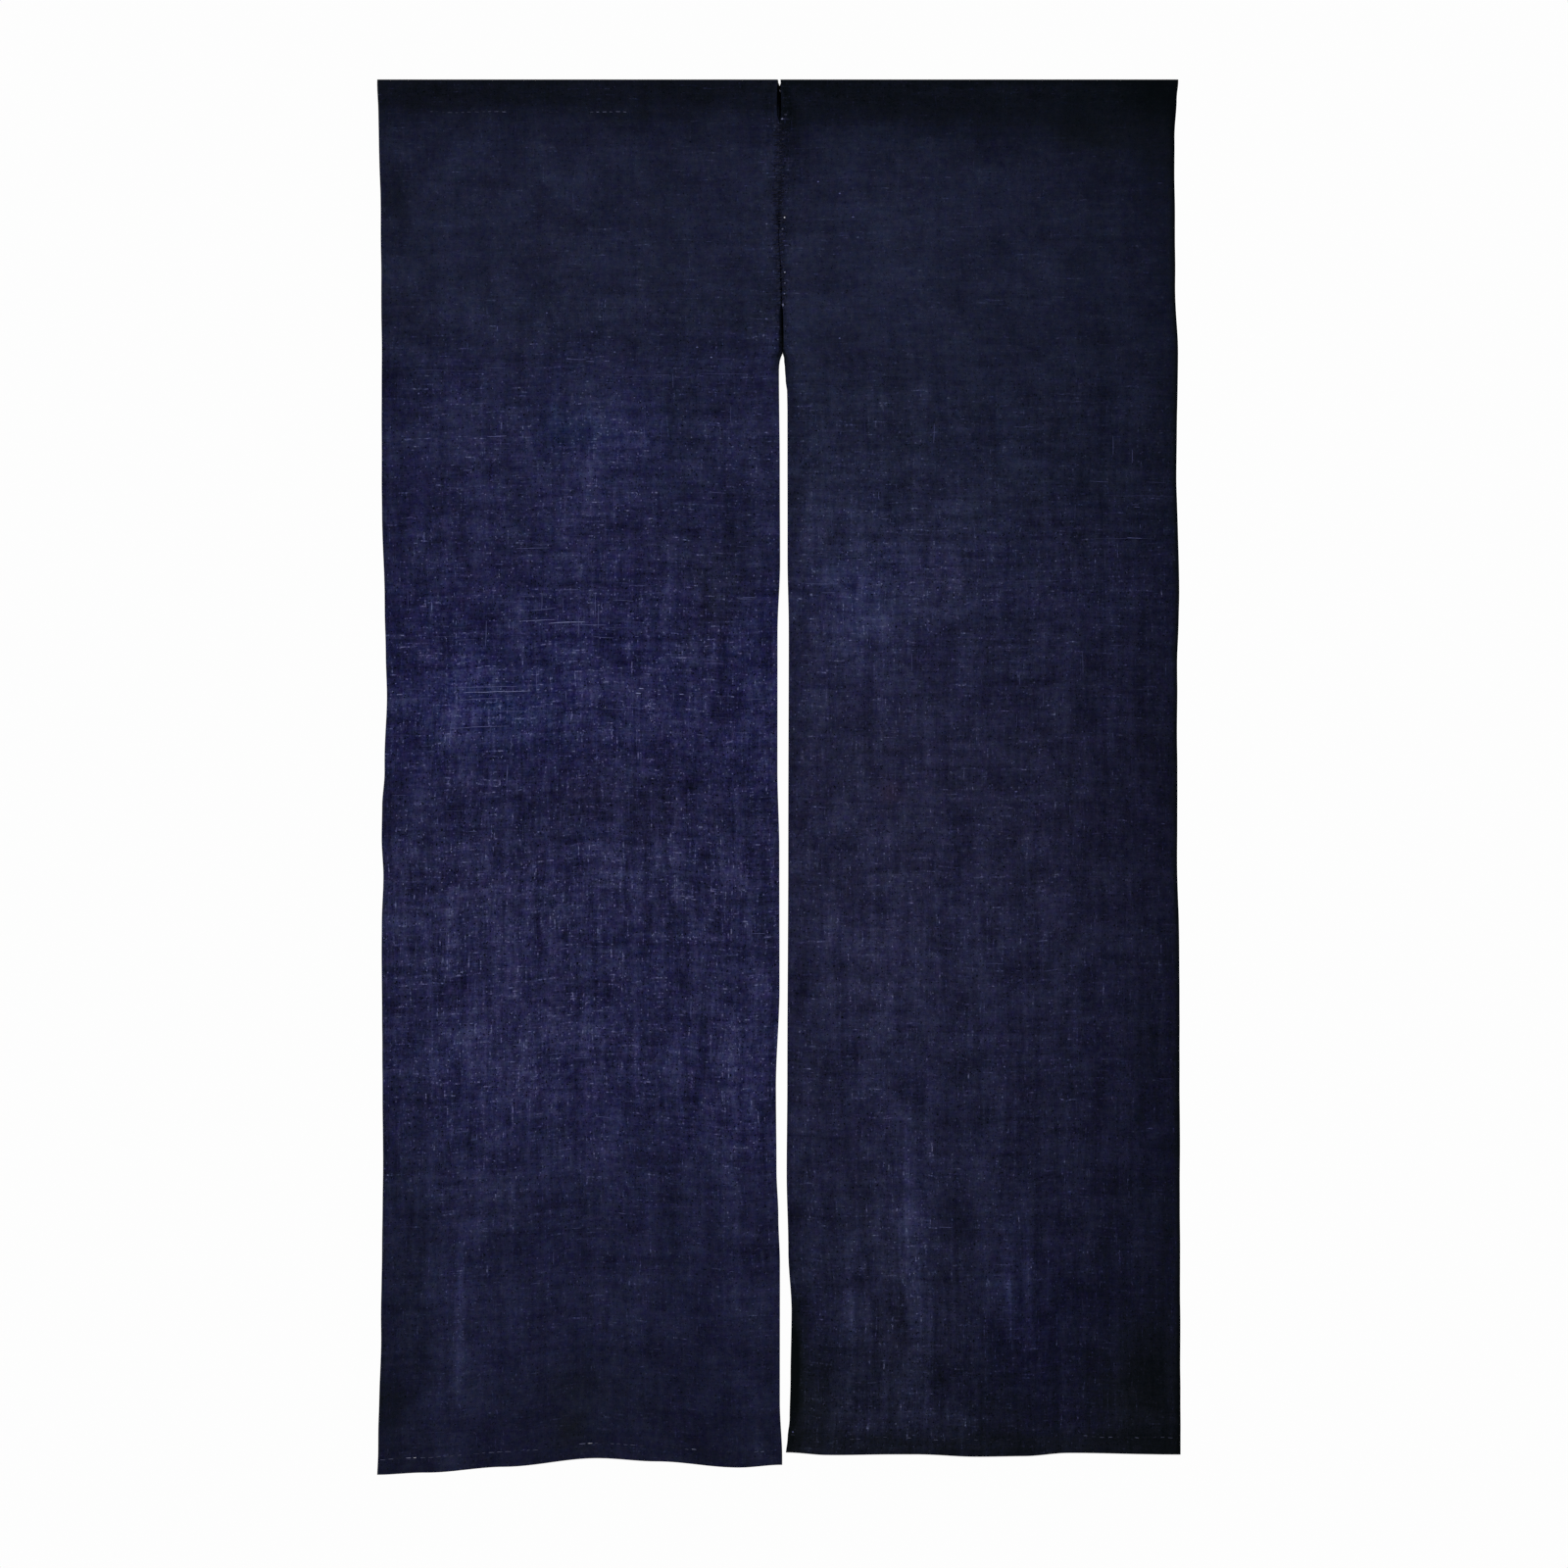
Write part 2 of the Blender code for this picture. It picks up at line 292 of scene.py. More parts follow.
def hung_cloth(name, length):
    """The cloth as a flat grid, folded at the pocket and the hem, and hung."""
    line = folded_line(length)
    crown = max(range(len(line)), key=lambda number: line[number][1])
    measured = [0.0]
    for (y, z), (next_y, next_z) in zip(line, line[1:]):
        measured.append(measured[-1] - math.hypot(next_y - y, next_z - z))
    measured = [at - measured[crown] for at in measured]
    width = abs(length.outer[0].x)
    side = -1.0 if length.outer[0].x < 0 else 1.0
    near_slit = 1.0 - slit_zone / width
    places = [near_slit * column / across_columns for column in range(across_columns)]
    places += [between(near_slit, 1.0, column / slit_columns) for column in range(slit_columns + 1)]

    bm = bmesh.new()
    bmesh.ops.create_grid(bm, x_segments=len(places) - 1, y_segments=len(line) - 1, size=0.5)
    uv = bm.loops.layers.uv.new("cloth")
    columns, rows = len(places) - 1, len(line) - 1
    spots = {}
    for vertex in bm.verts:
        spots[vertex] = (round((vertex.co.x + 0.5) * columns), round((vertex.co.y + 0.5) * rows))
    for face in bm.faces:
        for loop in face.loops:
            column, row = spots[loop.vert]
            loop[uv].uv = (side * width * (1.0 - places[column]), measured[row])
    for vertex, (column, row) in spots.items():
        vertex.co = hang(length, places[column], *line[row])
    mesh = bpy.data.meshes.new(name)
    bm.to_mesh(mesh)
    bm.free()
    mesh.shade_smooth()
    cloth = bpy.data.objects.new(name, mesh)
    bpy.context.scene.collection.objects.link(cloth)
    thickness = cloth.modifiers.new("thickness", "SOLIDIFY")
    thickness.thickness = cloth_thickness
    thickness.offset = 0.0
    return cloth


def feed(tree, node, *terms):
    """The node's output, its first inputs set to these numbers or other nodes' outputs."""
    for socket, term in zip(node.inputs, terms):
        if isinstance(term, (int, float)):
            socket.default_value = term
        else:
            tree.links.new(term, socket)
    return node.outputs[0]


def math_node(tree, operation, *terms):
    node = tree.nodes.new("ShaderNodeMath")
    node.operation = operation
    return feed(tree, node, *terms)


def point(tree, x, y):
    return feed(tree, tree.nodes.new("ShaderNodeCombineXYZ"), x, y)


def spots_of(tree, vector, scale, detail, roughness=0.55):
    """Noise about 0: soft spots, one to each 1 / scale."""
    node = tree.nodes.new("ShaderNodeTexNoise")
    node.noise_dimensions = "2D"
    tree.links.new(vector, node.inputs["Vector"])
    node.inputs["Scale"].default_value = scale
    node.inputs["Detail"].default_value = detail
    node.inputs["Roughness"].default_value = roughness
    return math_node(tree, "SUBTRACT", node.outputs["Fac"], 0.5)


def colour_ramp(tree, source, stops, blend):
    """A colour read off a ramp of (place, colour) stops, at a source from 0 to 1."""
    node = tree.nodes.new("ShaderNodeValToRGB")
    node.color_ramp.interpolation = blend
    elements = node.color_ramp.elements
    while len(elements) < len(stops):
        elements.new(0.5)
    for element, (at, colour) in zip(elements, stops):
        element.position = at
        element.color = (*colour, 1.0)
    tree.links.new(source, node.inputs["Fac"])
    return node.outputs["Color"]


def level_ramp(tree, source, stops):
    """Grey levels read off a ramp at a source from 0 to 1."""
    return colour_ramp(tree, source, [(at, (level, level, level)) for at, level in stops], "EASE")


def soft_spot(tree, vector, spot):
    """1 in the middle of a spot with this across, drop, wide and tall, and soft down to 0 around it."""
    sized = tree.nodes.new("ShaderNodeVectorMath")
    sized.operation = "MULTIPLY_ADD"
    tree.links.new(vector, sized.inputs[0])
    sized.inputs[1].default_value = (1 / spot.wide, 1 / spot.tall, 0.0)
    sized.inputs[2].default_value = (-spot.across / spot.wide, -spot.drop / spot.tall, 0.0)
    squared = tree.nodes.new("ShaderNodeVectorMath")
    squared.operation = "DOT_PRODUCT"
    tree.links.new(sized.outputs[0], squared.inputs[0])
    tree.links.new(sized.outputs[0], squared.inputs[1])
    return math_node(tree, "EXPONENT", math_node(tree, "MULTIPLY", squared.outputs["Value"], -1.0))


def shown(red, green, blue):
    """A colour given as it shows on a screen, 0 to 255, as the light it stands for."""
    levels = [value / 255 for value in (red, green, blue)]
    return [v / 12.92 if v <= 0.04045 else ((v + 0.055) / 1.055) ** 2.4 for v in levels]


# Indigo from its deepest, used for the painted shade of the doubled cloth and of the seam's groove, to bare
# yarn: how pale, and the colour
Dye = namedtuple("Dye", "pale red green blue")
indigo = rows_of(
    Dye,
    (10, 3, 6, 11), (18, 7, 10, 18), (27, 12, 14, 27), (36, 15, 16, 36), (43, 20, 21, 43),
    (51, 25, 26, 51), (59, 30, 31, 59), (66, 35, 36, 66), (74, 41, 42, 74), (86, 51, 52, 86),
    (102, 66, 68, 102), (128, 92, 93, 128),
)
palest = 128.0
light_share = 1.07

# How far down and across the ramps reach, the largest share of a side, and the width of a spot
# below which its border is sharp; then the pitch of the yarns
ramp_drop = 1.6
ramp_across = 0.45
most_share = 1.5
narrow = 0.0125
weft_pitch = 0.00125
warp_pitch = 0.00115


def indigo_cloth(name, heights, sides, worn_and_shaded, streaks, casts, stains):
    """Handwoven indigo: tone by height, across and by wear, and streaks along both yarns; the tone also holds
    painted shade at the doubled pocket and hem, beside the seam, in its groove, in a crease at the slit's
    foot and in small gaps of the weave.
    """
    material = bpy.data.materials.new(name)
    material.use_nodes = True
    tree = material.node_tree
    shader = tree.nodes["Principled BSDF"]

    def scaled(term, by, plus=0.0):
        return math_node(tree, "MULTIPLY_ADD", term, by, plus)

    def above(term, level):
        """How far the term is above this level, or 0."""
        return math_node(tree, "MAXIMUM", math_node(tree, "SUBTRACT", term, level), 0.0)

    def by_height(place, rows, value, most=1.0):
        """One of the rows' values at this height, from a ramp whose greys stand for 0 to the most."""
        stops = [(row.drop / ramp_drop, getattr(row, value) / most) for row in rows]
        return scaled(level_ramp(tree, math_node(tree, "DIVIDE", place, ramp_drop), stops), most)

    source = tree.nodes.new("ShaderNodeUVMap")
    source.uv_map = "cloth"
    split = tree.nodes.new("ShaderNodeSeparateXYZ")
    tree.links.new(source.outputs["UV"], split.inputs["Vector"])
    across, down = split.outputs["X"], scaled(split.outputs["Y"], -1.0)
    flat, flat_turned = point(tree, across, down), point(tree, down, across)

    # Soft, uneven borders: each place is read a little off where it is
    drift = spots_of(tree, flat, 22.0, 3.0)
    other_drift = spots_of(tree, flat_turned, 19.0, 3.0)
    drifted_across = scaled(drift, 0.050, across)
    drifted_down = scaled(other_drift, 0.030, down)
    near_down = scaled(other_drift, 0.012, down)
    drifting = point(tree, drifted_across, drifted_down)

    # Tone by height, darker at the doubled pocket and hem as painted shade
    tone = scaled(by_height(near_down, heights, "tone", palest), 1 / palest)
    # Tone across, lowered next to the seam and the slit as painted shade of the seam's groove
    side_stops = [(abs(row.across) / ramp_across, row.share / most_share) for row in sides]
    outwards = math_node(tree, "DIVIDE", math_node(tree, "ABSOLUTE", drifted_across), ramp_across)
    tone = scaled(tone, scaled(level_ramp(tree, outwards, side_stops), most_share))
    washed, dulled = 0.0, 0.0
    # Spots of tone: wear, and painted shade along the seam, in its groove and in a crease at the slit's foot
    for patch in worn_and_shaded:
        reach = soft_spot(tree, flat if patch.wide < narrow else drifting, patch)
        tone = scaled(reach, patch.paler / palest, tone)
        if patch.paler > 7 and patch.wide >= narrow:
            washed = scaled(reach, patch.paler / 12, washed)
        if patch.paler < -5:
            dulled = scaled(reach, -patch.paler / 12, dulled)

    # Yarns: each has its own run of thick and thin, pale and dark
    sway = scaled(spots_of(tree, flat, 30.0, 2.0), 0.0045, down)
    lean = scaled(drift, 0.0045, across)
    weft = math_node(tree, "FLOOR", math_node(tree, "DIVIDE", sway, weft_pitch))
    warp = math_node(tree, "FLOOR", math_node(tree, "DIVIDE", lean, warp_pitch))
    weft_run = spots_of(tree, point(tree, across, scaled(weft, 0.37)), 24.0, 4.0, 0.85)
    warp_run = spots_of(tree, point(tree, scaled(warp, 0.41), down), 26.0, 4.0, 0.85)
    weft_band = spots_of(tree, point(tree, scaled(across, 8.0), scaled(sway, 105.0)), 1.0, 3.0)
    warp_band = spots_of(tree, point(tree, scaled(lean, 95.0), scaled(down, 7.0)), 1.0, 3.0)
    grain = spots_of(tree, flat, 380.0, 2.0, 0.6)
    dapple = spots_of(tree, flat, 120.0, 1.0)
    mottle = spots_of(tree, flat, 30.0, 4.0, 0.6)
    broad = spots_of(tree, flat_turned, 11.0, 2.0)

    # How strongly they show: by height, and more beside the seam
    strength = by_height(drifted_down, streaks, "contrast", 2.5)
    weft_share = by_height(drifted_down, streaks, "weft_share", 2.0)
    warp_share = math_node(tree, "SUBTRACT", 2.0, weft_share)
    from_seam = math_node(tree, "POWER", math_node(tree, "DIVIDE", across, 0.014), 2.0)
    at_seam = math_node(tree, "EXPONENT", scaled(from_seam, -1.0))
    below_seam = math_node(tree, "GREATER_THAN", down, seam_gone)
    at_seam = scaled(at_seam, math_node(tree, "SUBTRACT", 1.0, below_seam))
    strength = scaled(at_seam, 0.8, strength)
    along_weft = scaled(weft_band, 0.38, scaled(weft_run, 0.46))
    along_warp = scaled(warp_band, 0.40, scaled(warp_run, 0.42))
    uneven = scaled(along_warp, warp_share, scaled(along_weft, weft_share))
    for spots, share in ((grain, 0.33), (dapple, 0.17), (mottle, 0.26)):
        uneven = scaled(spots, share, uneven)
    uneven = scaled(uneven, strength)
    for spots, share in ((mottle, 0.34), (drift, 0.22), (broad, 0.17)):
        uneven = scaled(spots, share, uneven)

    # Slubs, the thick pale runs of a yarn; specks, its knots and the small dark gaps beside them, the gaps'
    # darkness painted shade
    slub = scaled(above(weft_run, 0.12), weft_share)
    slub = scaled(above(warp_run, 0.13), warp_share, slub)
    slub = scaled(slub, math_node(tree, "MAXIMUM", scaled(grain, 5.0, 0.9), 0.0))
    crossing = tree.nodes.new("ShaderNodeTexWhiteNoise")
    crossing.noise_dimensions = "2D"
    tree.links.new(point(tree, weft, warp), crossing.inputs["Vector"])
    chance = crossing.outputs["Value"]
    speck = scaled(above(chance, 0.990), 78.0)
    # Dark specks at some crossings and the hollows below: painted shade in small gaps of the weave
    speck = scaled(above(0.022, chance), -36.0, speck)
    fleck = spots_of(tree, flat, 330.0, 1.0)
    painted_gap_shade = math_node(tree, "MINIMUM", math_node(tree, "ADD", fleck, 0.20), 0.0)
    speck = scaled(above(fleck, 0.23), 4.2, speck)
    speck = scaled(painted_gap_shade, 6.0, speck)
    uneven = scaled(scaled(slub, 4.6, speck), strength, uneven)
    pale = scaled(tone, math_node(tree, "ADD", uneven, 1.0))

    # The dye took unevenly: a little bluer in some places and greyer in others
    dyes = []
    for row in indigo:
        colour = [value * light_share for value in shown(row.red, row.green, row.blue)]
        dyes.append((row.pale / palest, colour))
    cast = tree.nodes.new("ShaderNodeHueSaturation")
    tree.links.new(colour_ramp(tree, pale, dyes, "LINEAR"), cast.inputs["Color"])
    tint = spots_of(tree, flat_turned, 115.0, 4.0, 0.72)
    other_tint = spots_of(tree, flat_turned, 150.0, 3.0, 0.80)
    vividness = by_height(near_down, casts, "vivid", 1.2)
    for spots, share in ((other_drift, 0.10), (other_tint, 0.56), (washed, 0.08), (dulled, -0.07)):
        vividness = scaled(spots, share, vividness)
    hue = scaled(by_height(near_down, casts, "greener"), -0.02, 0.5)
    for spots, share in ((drift, -0.020), (washed, -0.003), (dulled, -0.008), (tint, 0.064)):
        hue = scaled(spots, share, hue)
    for stain in stains:
        reach = soft_spot(tree, flat if stain.wide < narrow else drifting, stain)
        hue = scaled(reach, stain.redder, hue)
        vividness = scaled(reach, -stain.duller, vividness)
    tree.links.new(hue, cast.inputs["Hue"])
    tree.links.new(vividness, cast.inputs["Saturation"])
    tree.links.new(cast.outputs["Color"], shader.inputs["Base Color"])

    # The weave itself, yarn over yarn, and the slubs that stand proud of it
    fine_weft = math_node(tree, "SINE", scaled(sway, math.pi / 0.00075))
    fine_warp = math_node(tree, "SINE", scaled(lean, math.pi / 0.00070))
    relief = scaled(math_node(tree, "ADD", weft_run, warp_run), 1.6, scaled(fine_weft, fine_warp))
    relief = scaled(slub, 3.0, relief)
    bump = tree.nodes.new("ShaderNodeBump")
    bump.inputs["Strength"].default_value = 0.55
    bump.inputs["Distance"].default_value = 0.00018
    tree.links.new(relief, bump.inputs["Height"])
    tree.links.new(bump.outputs["Normal"], shader.inputs["Normal"])

    dull = tree.nodes.new("ShaderNodeMapRange")
    tree.links.new(pale, dull.inputs["Value"])
    dull.inputs["To Min"].default_value = 0.80
    dull.inputs["To Max"].default_value = 0.96
    tree.links.new(dull.outputs["Result"], shader.inputs["Roughness"])
    shader.inputs["Metallic"].default_value = 0.0
    shader.inputs["Specular IOR Level"].default_value = 0.02
    return material


# Tone down the cloth. Darker at the pocket and the hem: painted shade, for the less light that comes through
# the doubled cloth; between, the cloth's own worn and unworn tone.
left_heights = rows_of(
    Tone,
    (0.000, 24), (0.016, 27), (0.030, 30), (0.037, 36), (0.055, 43), (0.085, 49), (0.150, 51),
    (0.270, 53), (0.330, 57), (0.380, 62), (0.500, 61), (0.600, 65), (0.670, 69), (0.770, 61),
    (0.850, 68), (0.950, 65), (1.020, 68), (1.140, 60), (1.250, 53), (1.390, 48), (1.430, 45),
    (1.450, 42),
)
# Tone across. The first row darkens the cloth next to the seam and the slit: painted shade of the seam's
# groove
left_sides = rows_of(
    Side,
    (0.000, 0.93), (-0.020, 1.00), (-0.100, 0.98), (-0.200, 1.03), (-0.275, 0.99), (-0.340, 1.02),
    (-0.390, 0.97), (-0.420, 0.90),
)
left_worn_and_shaded = rows_of(
    WearAndShade,
    (-0.330, 0.655, 0.075, 0.045, 9), (-0.165, 0.385, 0.080, 0.035, 8),
    (-0.225, 0.480, 0.055, 0.090, 5), (-0.100, 0.380, 0.030, 0.080, -6),
    (-0.290, 1.075, 0.045, 0.110, 7), (-0.035, 1.090, 0.030, 0.090, 6),
    (-0.150, 0.960, 0.040, 0.060, -5), (-0.330, 1.080, 0.030, 0.040, -5),
    (-0.100, 1.425, 0.050, 0.025, -4), (-0.230, 0.770, 0.070, 0.030, -4),
    (-0.395, 1.240, 0.030, 0.200, -7), (-0.345, 1.290, 0.026, 0.190, 6),
    (-0.185, 1.400, 0.045, 0.030, -8), (-0.045, 0.500, 0.040, 0.080, -6),
    (-0.220, 1.385, 0.024, 0.022, -9), (-0.415, 1.400, 0.018, 0.030, -10),
    (-0.223, 1.432, 0.026, 0.018, -10), (-0.410, 0.140, 0.014, 0.040, -8),
    (-0.150, 0.045, 0.040, 0.010, -6), (-0.3430, 1.300, 0.0040, 0.085, 15),
    (-0.318, 1.200, 0.0035, 0.060, 6), (-0.048, 1.230, 0.0040, 0.110, 6),
    (-0.100, 1.090, 0.0040, 0.060, 6), (-0.187, 0.860, 0.0040, 0.080, 7),
    (-0.245, 0.930, 0.0035, 0.060, 6), (-0.205, 0.440, 0.0060, 0.060, 7),
    # The two rows at 0.000 across darken along the seam and deep in its groove: painted shade
    (-0.4270, 0.860, 0.0040, 0.700, -10), (0.000, 0.160, 0.0100, 0.110, -4),
    (0.000, 0.275, 0.0045, 0.034, -40),
)
left_streaks = rows_of(
    Streak,
    (0.000, 1.05, 1.20), (0.050, 0.54, 1.15), (0.200, 0.56, 1.20), (0.270, 0.78, 1.20),
    (0.340, 1.00, 1.22), (0.480, 1.20, 1.16), (0.560, 1.42, 1.05), (0.720, 1.50, 0.92),
    (0.900, 1.50, 0.86), (1.060, 1.38, 0.88), (1.220, 0.94, 0.92), (1.460, 0.70, 1.00),
)
left_casts = rows_of(
    Cast,
    (0.000, 0.90, 0.80), (0.034, 0.90, 0.80), (0.060, 0.93, 0.60), (0.240, 0.93, 0.60),
    (0.330, 1.00, 0.25), (0.480, 1.03, 0.05), (0.600, 1.08, 0.00), (0.700, 1.07, 0.00),
    (0.790, 1.02, 0.00), (1.080, 1.04, 0.00), (1.200, 0.99, 0.20), (1.430, 0.96, 0.30),
    (1.480, 0.92, 0.40),
)

left_stains = rows_of(
    Stain,
    (-0.222, 0.378, 0.040, 0.020, -0.010, -0.06), (-0.280, 0.669, 0.050, 0.030, -0.008, -0.05),
    (-0.074, 0.554, 0.034, 0.048, 0.000, 0.10), (-0.223, 1.432, 0.024, 0.018, -0.004, 0.13),
    (-0.170, 0.760, 0.060, 0.030, 0.004, 0.05),
)

panel_left = hung_cloth("cloth_left", left_length)
panel_left.data.materials.append(
    indigo_cloth(
        "indigo_cloth_left", left_heights, left_sides, left_worn_and_shaded, left_streaks, left_casts, left_stains
    )
)
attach(panel_left, "root")
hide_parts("panel_left")


# The right length of cloth.
# The same cloth, less worn and darker towards its outer edge, with a deeper pocket for the rod
# and a foot that hangs two centimetres higher.
right_length = Length(
    pocket_drop=0.048,
    hem_height=0.0185,
    outer=rows_of(
        Edge,
        (0.000, 0.4234), (0.022, 0.4213), (0.063, 0.4193), (0.215, 0.4199), (0.292, 0.4229),
        (0.420, 0.4215), (0.542, 0.4244), (0.640, 0.4221), (0.833, 0.4224), (0.925, 0.4247),
        (1.000, 0.4249), (1.465, 0.4258),
    ),
    slit=(Edge(0.000, 0.0010), Edge(0.018, 0.0017), Edge(0.038, 0.0016))
    + seam
    + rows_of(
        Edge,
        (0.2965, 0.0046), (0.307, 0.0056), (0.320, 0.0064), (0.333, 0.0080), (0.355, 0.0083),
        (0.510, 0.0084), (0.584, 0.0097), (0.813, 0.0092), (1.062, 0.0082), (1.166, 0.0075),
        (1.249, 0.0093), (1.312, 0.0127), (1.383, 0.0116), (1.427, 0.0106), (1.446, 0.0086),
        (1.465, 0.0066),
    ),
    foot=rows_of(
        Foot,
        (0.008, -0.0045), (0.050, -0.002), (0.140, -0.003), (0.205, 0.000), (0.260, -0.001),
        (0.306, -0.004), (0.425, -0.002),
    ),
    folds=rows_of(
        Fold,
        (0.020, 0.035, 0.45, 1.40, -0.0030), (0.075, 0.040, 0.20, 0.90, 0.0030),
        (0.138, 0.026, 0.60, 1.30, 0.0050), (0.190, 0.035, 0.50, 1.30, -0.0040),
        (0.255, 0.035, 0.80, 1.35, 0.0045), (0.330, 0.055, 0.25, 1.20, -0.0035),
        (0.425, 0.050, 0.15, 1.20, -0.0060),
    ),
    creases=rows_of(
        Crease,
        (0.140, 1.300, 0.260, 0.005, 0.01, 0.0010), (0.255, 1.290, 0.200, 0.006, -0.02, 0.0009),
        (0.100, 0.620, 0.320, 0.007, 0.02, -0.0008), (0.210, 0.900, 0.380, 0.008, -0.02, 0.0008),
        (0.330, 0.500, 0.300, 0.007, 0.02, 0.0007),
    ),
)
# Tone down the cloth. Darker at the pocket and the hem: painted shade, for the less light that comes through
# the doubled cloth; between, the cloth's own worn and unworn tone.
right_heights = rows_of(
    Tone,
    (0.000, 17), (0.016, 23), (0.038, 25), (0.050, 29), (0.060, 36), (0.085, 43), (0.140, 47),
    (0.380, 48), (0.440, 50), (0.540, 55), (0.610, 54), (0.690, 51), (0.900, 53), (1.000, 52),
    (1.140, 48), (1.250, 46), (1.320, 42), (1.380, 37), (1.435, 40), (1.450, 29), (1.470, 27),
)
# Tone across. The first row darkens the cloth next to the seam and the slit: painted shade of the seam's
# groove
right_sides = rows_of(
    Side,
    (0.000, 0.95), (0.020, 1.11), (0.105, 1.12), (0.200, 1.06), (0.280, 1.00), (0.350, 0.87),
    (0.424, 0.70),
)
right_worn_and_shaded = rows_of(
    WearAndShade,
    (0.080, 0.555, 0.045, 0.070, 13), (0.035, 0.420, 0.030, 0.060, 5),
    (0.075, 1.380, 0.035, 0.040, -4), (0.170, 0.520, 0.050, 0.080, 5),
    (0.105, 0.960, 0.030, 0.170, 6), (0.045, 1.080, 0.025, 0.110, -3),
    (0.110, 1.230, 0.030, 0.100, 6), (0.137, 1.300, 0.018, 0.150, 9),
    (0.245, 1.270, 0.018, 0.100, 8), (0.065, 1.420, 0.020, 0.050, 4),
    # These two darken the slit's edge near its foot: painted shade of a crease
    (0.003, 1.375, 0.0070, 0.060, -26), (0.004, 1.375, 0.0120, 0.090, -14),
    (0.018, 1.400, 0.030, 0.050, -6), (0.064, 1.290, 0.0045, 0.034, 18),
    (0.067, 1.330, 0.0030, 0.040, 9), (0.129, 1.190, 0.0040, 0.090, 10),
    (0.134, 1.290, 0.0060, 0.070, 8), (0.141, 1.235, 0.0035, 0.080, 9),
    (0.150, 1.320, 0.0030, 0.050, 8), (0.155, 1.160, 0.0040, 0.060, 8),
    (0.176, 1.270, 0.0030, 0.060, 6), (0.236, 1.290, 0.0035, 0.045, 17),
    (0.259, 1.285, 0.0030, 0.030, 14), (0.213, 1.290, 0.0040, 0.070, 6),
    (0.128, 1.395, 0.0090, 0.035, 5), (0.148, 1.405, 0.0040, 0.035, 9),
    (0.104, 1.400, 0.0035, 0.040, 7), (0.4240, 0.760, 0.0050, 1.400, -20),
    # These two darken along the seam and deep in its groove: painted shade
    (0.000, 0.160, 0.0100, 0.110, -4), (0.000, 0.275, 0.0045, 0.034, -40),
    (0.230, 1.415, 0.035, 0.030, -6), (0.385, 1.400, 0.050, 0.060, -9),
    (0.230, 1.425, 0.022, 0.022, -3), (0.035, 1.430, 0.024, 0.022, -7),
    (0.330, 0.065, 0.060, 0.016, -8), (0.402, 0.105, 0.020, 0.050, -5),
    (0.385, 0.300, 0.030, 0.250, 4), (0.400, 0.020, 0.040, 0.020, -7),
    (0.160, 0.330, 0.120, 0.100, -2),
)
right_streaks = rows_of(
    Streak,
    (0.000, 1.10, 1.25), (0.060, 0.52, 1.22), (0.260, 0.54, 1.25), (0.380, 0.90, 1.15),
    (0.520, 1.10, 1.04), (0.700, 1.06, 0.95), (0.900, 1.08, 0.88), (1.080, 1.12, 0.84),
    (1.200, 1.06, 0.80), (1.460, 1.35, 0.84),
)
right_casts = rows_of(
    Cast,
    (0.000, 0.92, 0.85), (0.045, 0.92, 0.85), (0.080, 0.92, 0.70), (0.400, 0.93, 0.65),
    (0.560, 0.96, 0.20), (0.760, 0.92, 0.05), (1.100, 0.94, 0.15), (1.300, 0.93, 0.30),
    (1.435, 0.90, 0.40), (1.455, 0.82, 0.85),
)

right_stains = rows_of(
    Stain,
    (0.111, 0.762, 0.0110, 0.0130, 0.027, 0.10), (0.370, 1.410, 0.050, 0.050, -0.004, 0.08),
    (0.125, 1.330, 0.045, 0.100, 0.000, 0.06), (0.018, 1.420, 0.030, 0.050, -0.006, 0.08),
    (0.280, 1.360, 0.070, 0.100, 0.006, -0.06),
)

panel_right = hung_cloth("cloth_right", right_length)
panel_right.data.materials.append(
    indigo_cloth(
        "indigo_cloth_right",
        right_heights,
        right_sides,
        right_worn_and_shaded,
        right_streaks,
        right_casts,
        right_stains,
    )
)
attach(panel_right, "root")
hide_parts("panel_right")


# The sewing of the two rod pockets and the two hems.
# Small running stitches by hand in cotton thread, left pale on some of their length and
# rubbed as dark as the cloth on the rest. The needle passes through every layer.
Run = namedtuple("Run", "start finish radius paleness")
Pale = namedtuple("Pale", "from_x to_x paleness")
Stitch = namedtuple("Stitch", "shortest longest under radius rubbed wander")


def thread_colour(name, dark, light, palest):
    """Twisted cotton thread from a dark to a light indigo and the palest, by the stitch's own paleness."""
    material = bpy.data.materials.new(name)
    material.use_nodes = True
    tree = material.node_tree
    shader = tree.nodes["Principled BSDF"]
    paleness = tree.nodes.new("ShaderNodeAttribute")
    paleness.attribute_name = "pale"
    place = tree.nodes.new("ShaderNodeTexCoord")
    fuzz = tree.nodes.new("ShaderNodeTexNoise")
    fuzz.inputs["Scale"].default_value = 900.0
    fuzz.inputs["Detail"].default_value = 3.0
    tree.links.new(place.outputs["Object"], fuzz.inputs["Vector"])
    uneven = math_node(tree, "SUBTRACT", fuzz.outputs["Fac"], 0.5)
    level = math_node(tree, "MULTIPLY_ADD", uneven, 0.3, paleness.outputs["Fac"])
    stops = [(0.0, shown(*dark))]
    for at, share in ((0.35, 0.30), (0.86, 0.90)):
        stops.append((at, shown(*[between(low, high, share) for low, high in zip(dark, light)])))
    stops.append((1.0, shown(*palest)))
    tree.links.new(colour_ramp(tree, level, stops, "LINEAR"), shader.inputs["Base Color"])
    twist = tree.nodes.new("ShaderNodeBump")
    twist.inputs["Strength"].default_value = 0.5
    twist.inputs["Distance"].default_value = 0.0001
    tree.links.new(fuzz.outputs["Fac"], twist.inputs["Height"])
    tree.links.new(twist.outputs["Normal"], shader.inputs["Normal"])
    shader.inputs["Roughness"].default_value = 0.85
    shader.inputs["Specular IOR Level"].default_value = 0.10
    return material


